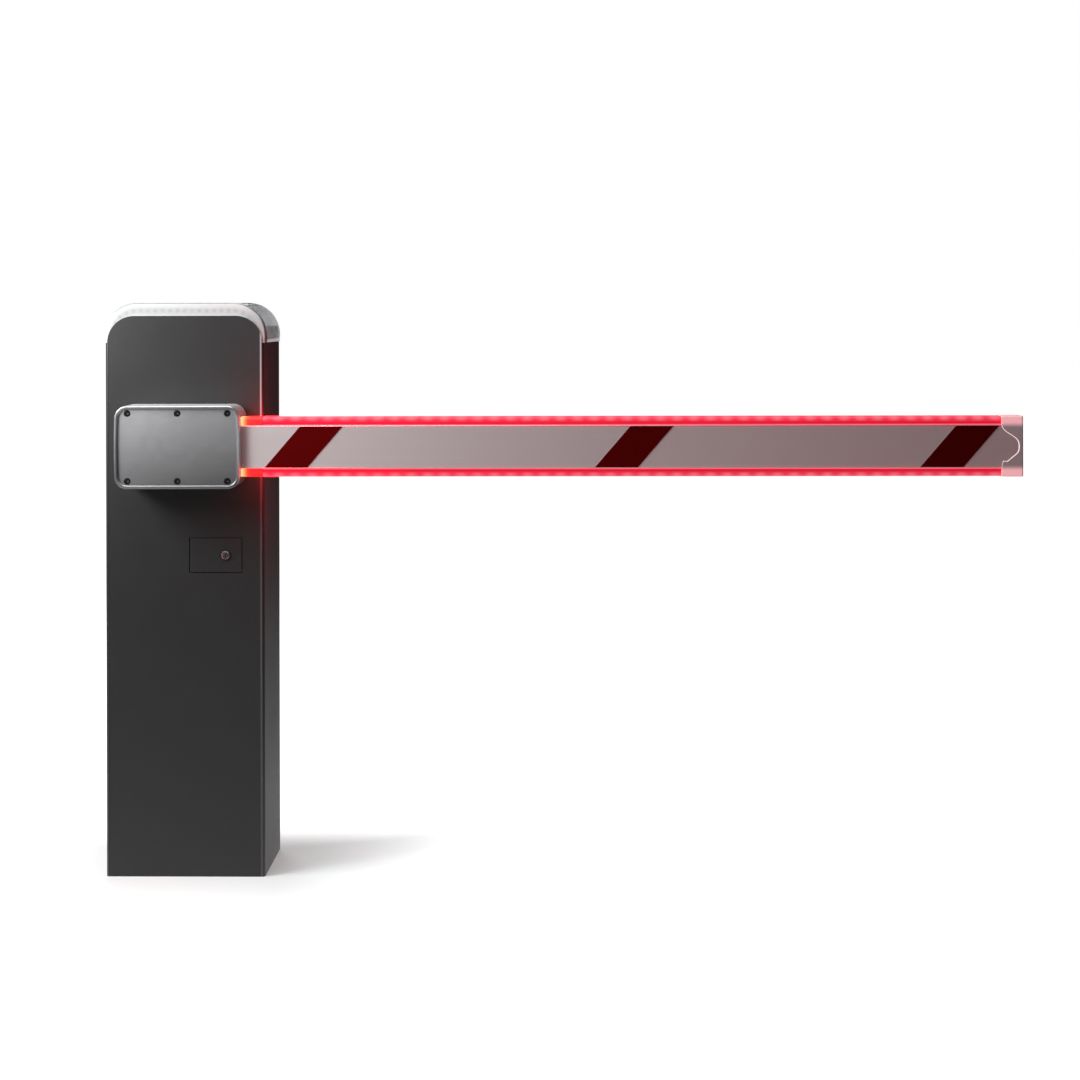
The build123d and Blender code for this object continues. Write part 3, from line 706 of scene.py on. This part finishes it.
def lit_cap():
    """Smoky plastic end cap with painted light: a pink tint and a glow from the strips' red light, a
    highlight along its cut edges, and shade at its end.
    """
    look = Finish("cap_plastic")
    height = abs(look.axis("Z") - PIVOT_HEIGHT)
    past_end = look.axis("X") - CAP_END
    # Painted red light where the strips end against the cap, a painted highlight along its cut edges
    # and painted shade along its end
    lit = height.step(BOOM_HALF_FACE - 6 * MM, BOOM_HALF_FACE + 6 * MM)
    normal = look.node("ShaderNodeNewGeometry", output="Normal")
    facing = abs(look.node("ShaderNodeSeparateXYZ", sockets={0: normal}, output="Y"))
    inside = 1 - height.step(BOOM_HALF_FACE - 1 * MM, BOOM_HALF_FACE)
    before_end = 1 - past_end.step(-4 * MM, -3 * MM)
    cut_edge = (1 - facing.step(0.93, 0.97)) * inside * before_end
    end = past_end.step(-3 * MM, -1.5 * MM)
    cloud = look.noise(40.0, 2.0)
    grain = look.noise(1200.0, 2.0)
    # Its grey tinted pink: the strips' red light, painted
    tint = look.mix(cloud, (0.72, 0.56, 0.57), (0.8, 0.63, 0.64))
    glow = look.mix(lit, (0.028, 0.004, 0.006), (0.64, 0.26, 0.28))
    glow = look.mix(end * 0.6, glow, (0.02, 0.004, 0.004))
    return look.done(
        Base_Color=look.mix(end * 0.8, tint, (0.03, 0.025, 0.025)), Roughness=0.34 + cloud * 0.1,
        Emission_Color=look.mix(cut_edge, glow, (0.75, 0.58, 0.6)), Emission_Strength=1.0,
        Normal=look.bump(grain, 0.00003, 0.5),
    )


def slanted_edge(look):
    """Distance to the nearest slanted edge of a reflector."""
    distances = []
    for number in (1, 2, 3):
        low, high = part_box(f"reflector_front_{number}")
        slope = REFLECTOR_SLANT / (high.z - low.z)
        along = look.axis("X") - (look.axis("Z") - low.z) * slope
        distances += [abs(along - low.x), abs(along - (high.x - REFLECTOR_SLANT))]
    return reduce(Value.least, distances)


def reflective(colour):
    """Deep red reflective sheet with fine cells and a painted highlight along its slanted edges."""
    look = Finish("reflective_red")
    cells = look.node(
        "ShaderNodeTexVoronoi", {"feature": "DISTANCE_TO_EDGE"},
        {"Vector": look.place, "Scale": 420.0, "Randomness": 0.25},
    )
    wall = 1 - cells.step(0.02, 0.12)
    cloud = look.noise(14.0, 2.0)
    tint = look.mix(wall * 0.5 + cloud * 0.3, colour, shade(colour, 1.6))
    # Painted highlight: a pale line along the slanted edges
    cut = 1 - slanted_edge(look).step(0.4 * MM, 1.1 * MM)
    return look.done(
        Base_Color=look.mix(cut, tint, (0.5, 0.26, 0.27)), Roughness=0.45 + wall * 0.15,
        Specular_IOR_Level=0.06, Normal=look.bump(wall, 0.00003, 0.5),
    )


def circuit_board():
    """White solder mask with faint copper runs."""
    look = Finish("light_board")
    cloud = look.noise(300.0, 2.0, (1, 1, 0.3))
    return look.done(
        Base_Color=look.mix(cloud, (0.74, 0.75, 0.76), (0.86, 0.87, 0.87)),
        Roughness=0.35 + cloud * 0.1,
    )


def paint(material, *nodes):
    """Gives CAD nodes their finish."""
    for node in nodes:
        for slot in NODES[node].material_slots:
            slot.material = material


def only(piece):
    """Selects one object alone and makes it active."""
    bpy.ops.object.select_all(action="DESELECT")
    piece.select_set(True)
    bpy.context.view_layer.objects.active = piece


@contextmanager
def editing(piece):
    """Edit mode on one piece, in face selection, with nothing selected."""
    only(piece)
    bpy.ops.object.mode_set(mode="EDIT")
    bpy.ops.mesh.select_mode(type="FACE")
    bpy.ops.mesh.select_all(action="DESELECT")
    yield
    bpy.ops.object.mode_set(mode="OBJECT")


def pick(piece, test):
    """Selects the faces whose centre and normal pass the test, in edit mode."""
    mesh = bmesh.from_edit_mesh(piece.data)
    for face in mesh.faces:
        face.select_set(test(face.calc_center_median(), face.normal))
    mesh.select_flush(True)
    bmesh.update_edit_mesh(piece.data)


def settle(piece):
    """Writes the piece's place and turn into its mesh."""
    only(piece)
    bpy.ops.object.transform_apply(location=True, rotation=True, scale=True)


def use(piece, modifier, **settings):
    """Adds a modifier with its settings and applies it."""
    only(piece)
    added = piece.modifiers.new(modifier.lower(), modifier)
    for key, value in settings.items():
        setattr(added, key, value)
    bpy.ops.object.modifier_apply(modifier=added.name)


def copies(piece, places):
    """The piece at each place, each copy with its own mesh, joined into one."""
    made = []
    for place in places:
        copy = piece.copy()
        copy.data = piece.data.copy()
        copy.location = place
        bpy.context.collection.objects.link(copy)
        made.append(copy)
    bpy.data.objects.remove(piece)
    only(made[0])
    for copy in made:
        copy.select_set(True)
    bpy.ops.object.join()
    return made[0]


def finish_piece(piece, name, material, body):
    """Names a piece, smooths it, gives it its finish and lets it ride on its body."""
    piece.name = name
    piece.data.name = name
    settle(piece)
    bpy.ops.object.shade_smooth_by_angle(angle=math.radians(35))
    piece.data.materials.clear()
    piece.data.materials.append(material)
    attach(piece, body)


def prism(sides, radius, depth, place, turn=0.0):
    """A prism whose axis lies along Y, turned about that axis."""
    bpy.ops.object.select_all(action="DESELECT")
    bpy.ops.mesh.primitive_cylinder_add(
        vertices=sides, radius=radius, depth=depth, location=place, rotation=(math.pi / 2, turn, 0)
    )
    made = bpy.context.object
    settle(made)
    return made


def socket_screw(radius, height, socket_radius, rounding=0.1, turn=0.0):
    """Socket screw head at the origin: its seat on y = 0, its face to -Y, then turned about Z."""
    screw = prism(32, radius, height, (0, -height / 2, 0))
    with editing(screw):
        pick(screw, lambda centre, normal: normal.y < -0.9)
        bpy.ops.mesh.bevel(offset=rounding * radius, segments=4, affect="EDGES")
    key = prism(6, socket_radius, height, (0, -height, 0), turn=0.3)
    use(screw, "BOOLEAN", operation="DIFFERENCE", object=key, solver="EXACT")
    bpy.data.objects.remove(key)
    screw.rotation_euler.z = turn
    settle(screw)
    return screw


class BARRIER_OT_cabinet(bpy.types.Operator):
    """Powder coat on the panels, plated steel on the parts inside, and the rear panel's screws"""

    bl_idname = "barrier.cabinet"
    bl_label = "Cabinet"

    def execute(self, context):
        finish = context.scene.barrier_finish
        paint(
            powder_coat(tuple(finish.paint)), "side_panel_right", "side_panel_left", "front_panel",
            "rear_door", "top_tray", "release_door", "release_well",
        )
        paint(
            plated_steel(), "base_plate", "shaft_bearing", "release_socket",
            "release_hinge_pin", "drive_shaft",
        )
        pitch = (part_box("rear_door")[1].z - 2 * REAR_SCREW_MARGIN) / (REAR_SCREW_ROWS - 1)
        places = [
            (side * REAR_SCREW_X, BACK, REAR_SCREW_MARGIN + row * pitch)
            for side in (-1, 1) for row in range(REAR_SCREW_ROWS)
        ]
        screw = socket_screw(
            finish.rear_screw, height=2.7 * MM, socket_radius=1.7 * MM, rounding=0.45, turn=math.pi
        )
        screws = copies(screw, places)
        finish_piece(screws, "rear_screws", black_oxide("black_screw"), "cabinet")
        return {"FINISHED"}


class BARRIER_OT_crown(bpy.types.Operator):
    """Clear hood, frosted lens and lamp board of the crown"""

    bl_idname = "barrier.crown"
    bl_label = "Crown"

    def execute(self, context):
        finish = context.scene.barrier_finish
        paint(clear_plastic(), "crown_hood")
        paint(frosted_lens(finish.crown_pitch), "crown_lens")
        paint(circuit_board(), "crown_led_board")
        paint(moulded("carrier_plastic", (0.6, 0.61, 0.62)), "crown_light_carrier")
        return {"FINISHED"}


class BARRIER_OT_bracket(bpy.types.Operator):
    """Silver arm bracket with its six socket screws"""

    bl_idname = "barrier.bracket"
    bl_label = "Arm bracket"

    def execute(self, context):
        finish = context.scene.barrier_finish
        paint(cast_silver(tuple(finish.bracket)), "bracket_shell", "bracket_cover")
        centre = middle("bracket_cover").x
        seat = FIELD + COVER_SINK_DEPTH
        places = [
            (centre + column * COVER_SCREW_X, seat, PIVOT_HEIGHT + row * COVER_SCREW_Z)
            for column in (-1, 0, 1) for row in (-1, 1)
        ]
        screw = socket_screw(finish.cover_screw, height=3.8 * MM, socket_radius=3.0 * MM)
        screws = copies(screw, places)
        finish_piece(screws, "cover_screws", black_oxide("worn_screw", highlit_sockets=True), "arm")
        return {"FINISHED"}


class BARRIER_OT_boom(bpy.types.Operator):
    """Anodised boom, its reflectors, and its end cap with four screws"""

    bl_idname = "barrier.boom"
    bl_label = "Boom"

    def execute(self, context):
        finish = context.scene.barrier_finish
        paint(anodised(tuple(finish.boom)), "boom_profile")
        reflectors = [node for node in NODES if node.startswith("reflector_")]
        paint(reflective(tuple(finish.sheet_red)), *reflectors)
        paint(lit_cap(), "boom_end_cap")
        seat = CAP_END - CAP_SINK_DEPTH
        centre = middle("boom_profile").y
        places = [
            (seat, centre + column * CAP_SCREW_Y, PIVOT_HEIGHT + row * CAP_SCREW_Z)
            for column in (-1, 1) for row in (-1, 1)
        ]
        screw = socket_screw(
            finish.cap_screw, height=2.4 * MM, socket_radius=1.6 * MM, rounding=0.3,
            turn=math.pi / 2,
        )
        finish_piece(copies(screw, places), "cap_screws", plated_steel(), "arm")
        return {"FINISHED"}


class BARRIER_OT_strips(bpy.types.Operator):
    """Lit strips along the boom's edges, and their feed lengths"""

    bl_idname = "barrier.strips"
    bl_label = "Light strips"

    def execute(self, context):
        finish = context.scene.barrier_finish
        paint(lit_strip(finish), "led_strip_top", "led_strip_bottom")
        paint(lit_feed(finish), "led_lead_top", "led_lead_bottom")
        return {"FINISHED"}


class BARRIER_OT_lock(bpy.types.Operator):
    """Dark lock of the release door, with a painted highlight on its ring, and its seal"""

    bl_idname = "barrier.lock"
    bl_label = "Lock"

    def execute(self, context):
        for node in ("lock_bezel", "lock_core"):
            paint(lock_metal(node), node)
        paint(black_rubber(), "lock_seal")
        return {"FINISHED"}


def white_floor():
    """Floor with the object's shadow before and beside it, plain white behind it and further off."""
    look = Finish("studio_floor")
    camera_ray = look.ray("Camera")
    glossy_ray = look.ray("Glossy")
    clear_ray = look.ray("Transmission")
    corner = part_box("base_plate")[1]
    beside = (abs(look.axis("X")) - corner.x).most(0.0)
    beyond = (abs(look.axis("Y")) - corner.y).most(0.0)
    offset = (beside * beside + beyond * beyond) ** 0.5
    behind = look.axis("Y").step(0.08, 0.30) * 0.9
    clear = offset.step(-0.04, SHADOW_REACH).most(behind)
    mirrored = glossy_ray * (0.026 + 0.5 / ((1 + offset) * (1 + offset)))
    seen = (camera_ray + clear_ray) * (0.27 + clear * 0.73) + mirrored
    # Right of the cabinet the floor is tinted cyan, against the strips' red light that falls on it
    under_strips = look.axis("X").step(-0.1, 0.3)
    plain = look.mix(under_strips, (0.53, 0.53, 0.53), (0.495, 0.535, 0.535))
    colour = look.mix(camera_ray, (0.36, 0.36, 0.36), plain)
    diffuse = look.node("ShaderNodeBsdfDiffuse", sockets={"Color": colour})
    lift = look.node("ShaderNodeEmission", sockets={"Color": FULL_WHITE, "Strength": seen})
    both = look.node("ShaderNodeAddShader", sockets={0: diffuse, 1: lift})
    look.node("ShaderNodeOutputMaterial", sockets={"Surface": both})
    return look.owner


def studio_room(ambient):
    """Room that the camera sees as white, with level light and dark reflections."""
    room = Shading(bpy.data.worlds.new("studio_room"))
    camera_ray = room.ray("Camera")
    glossy_ray = room.ray("Glossy")
    clear_ray = room.ray("Transmission")
    mirrored = glossy_ray * 0.03
    level = (1 - glossy_ray) * (1 - camera_ray) * (1 - clear_ray) * ambient
    strength = camera_ray + clear_ray + mirrored + level
    light = room.node("ShaderNodeBackground", sockets={"Color": FULL_WHITE, "Strength": strength})
    room.node("ShaderNodeOutputWorld", sockets={"Surface": light})
    return room.owner


class BARRIER_OT_studio(bpy.types.Operator):
    """White floor, room light, soft boxes and the camera"""

    bl_idname = "barrier.studio"
    bl_label = "Studio"

    def execute(self, context):
        studio = context.scene.barrier_studio
        self.lay_floor()
        context.scene.world = studio_room(studio.ambient)
        context.scene.view_settings.view_transform = "Standard"
        for name, box in SOFT_BOXES.items():
            self.add_soft_box(f"{name}_light", power=getattr(studio, f"{name}_power"), **box)
        self.place_camera(context, studio)
        return {"FINISHED"}

    def lay_floor(self):
        bpy.ops.object.select_all(action="DESELECT")
        bpy.ops.mesh.primitive_plane_add(size=FLOOR_SIZE, location=(0, 0, 0))
        floor = bpy.context.object
        floor.name = "studio_floor"
        floor.data.materials.append(white_floor())

    def add_soft_box(self, name, place, size, power):
        """A square lamp that faces the lit place, with edges of the given size."""
        bpy.ops.object.light_add(type="AREA", location=place)
        lamp = bpy.context.object
        lamp.name = name
        lamp.data.shape = "SQUARE"
        lamp.data.size = size
        lamp.data.energy = power
        lamp.visible_camera = False
        facing = Vector(LIT_PLACE) - Vector(place)
        lamp.rotation_euler = facing.to_track_quat("-Z", "Y").to_euler()

    def place_camera(self, context, studio):
        bpy.ops.object.camera_add(
            location=studio.camera_place,
            rotation=(math.pi / 2, studio.camera_roll, studio.camera_yaw),
        )
        camera = bpy.context.object
        camera.name = "studio_camera"
        camera.data.sensor_width = SENSOR_WIDTH
        camera.data.lens = studio.focal_pixels / PHOTO_PIXELS * SENSOR_WIDTH
        camera.data.shift_y = -studio.axis_rise / PHOTO_PIXELS
        camera.data.clip_end = VIEW_END
        context.scene.camera = camera


class BARRIER_PT_panel(bpy.types.Panel):
    """Steps that dress the barrier, in the 3D view's sidebar"""

    bl_label = "Parking barrier"
    bl_idname = "BARRIER_PT_panel"
    bl_space_type = "VIEW_3D"
    bl_region_type = "UI"
    bl_category = "Barrier"

    def draw(self, context):
        for group in (context.scene.barrier_finish, context.scene.barrier_studio):
            for key in group.__annotations__:
                self.layout.prop(group, key)
        for step in STEPS:
            self.layout.operator(step.bl_idname)


STEPS = (
    BARRIER_OT_cabinet, BARRIER_OT_crown, BARRIER_OT_bracket, BARRIER_OT_boom,
    BARRIER_OT_strips, BARRIER_OT_lock, BARRIER_OT_studio,
)
CLASSES = (BarrierFinish, BarrierStudio, *STEPS, BARRIER_PT_panel)


def register():
    for item in CLASSES:
        bpy.utils.register_class(item)
    bpy.types.Scene.barrier_finish = PointerProperty(type=BarrierFinish)
    bpy.types.Scene.barrier_studio = PointerProperty(type=BarrierStudio)


def unregister():
    del bpy.types.Scene.barrier_studio
    del bpy.types.Scene.barrier_finish
    for item in reversed(CLASSES):
        bpy.utils.unregister_class(item)


def main():
    register()
    bpy.ops.barrier.cabinet()
    bpy.ops.barrier.crown()
    bpy.ops.barrier.bracket()
    bpy.ops.barrier.boom()
    bpy.ops.barrier.strips()
    bpy.ops.barrier.lock()
    bpy.ops.barrier.studio()


if __name__ == "__main__":
    main()
